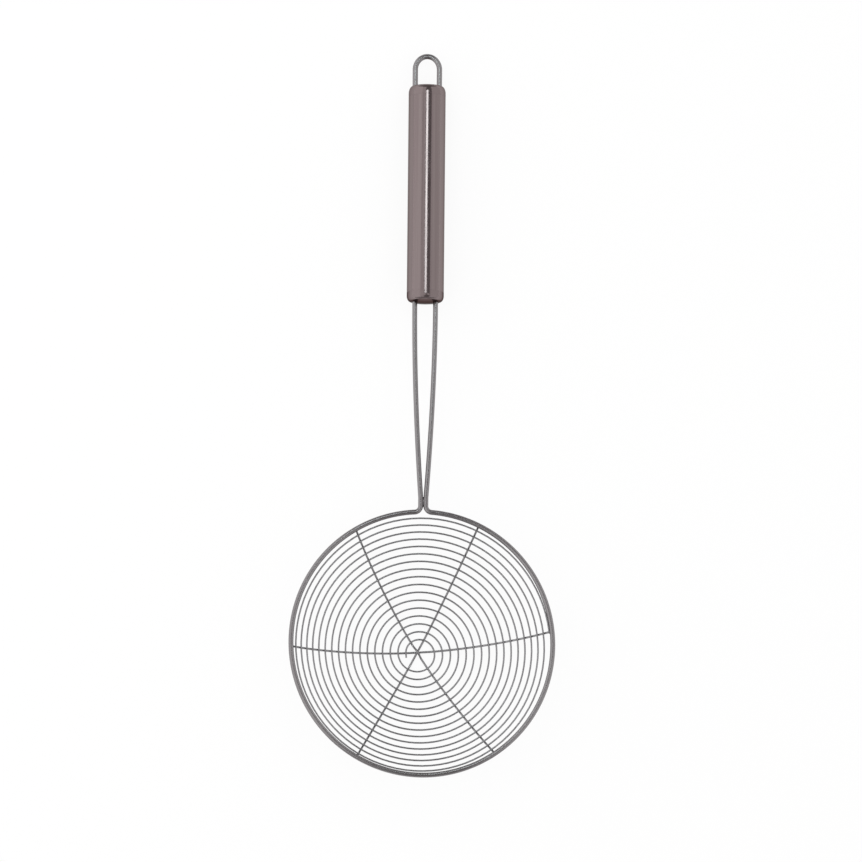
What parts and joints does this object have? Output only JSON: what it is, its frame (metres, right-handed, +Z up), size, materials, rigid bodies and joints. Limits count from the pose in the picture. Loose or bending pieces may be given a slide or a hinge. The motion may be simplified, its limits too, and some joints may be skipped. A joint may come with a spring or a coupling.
{
  "type": "spiral wire skimmer",
  "caption": "Long-handled skimmer: a shallow bowl of spiral wire on crossed wires in a ring, on two wire legs, with a round hollow handle and a hanging loop.",
  "frame": {"origin": "on the table, under the middle of the skimmer's box as it lies on its bowl and the far end of its handle", "axes": "+Y along the tool towards the hanging loop, +Z up out of the open bowl, +X across it"},
  "size_m": [0.14, 0.3848, 0.0395],
  "materials": {
    "handle_steel": "polished stainless steel tube, fine lengthwise drawing marks",
    "frame_steel": "drawn stainless wire, satin bright",
    "bowl_steel": "fine drawn stainless wire, satin bright"
  },
  "bodies": {
    "root": {"handle_tube": "handle_steel", "upper_end_cap": "handle_steel", "lower_end_cap": "handle_steel", "hanging_loop": "frame_steel", "frame_wire": "frame_steel", "spiral_wire": "bowl_steel", "cross_wire_1": "bowl_steel", "cross_wire_2": "bowl_steel", "cross_wire_3": "bowl_steel"}
  },
  "joints": []
}
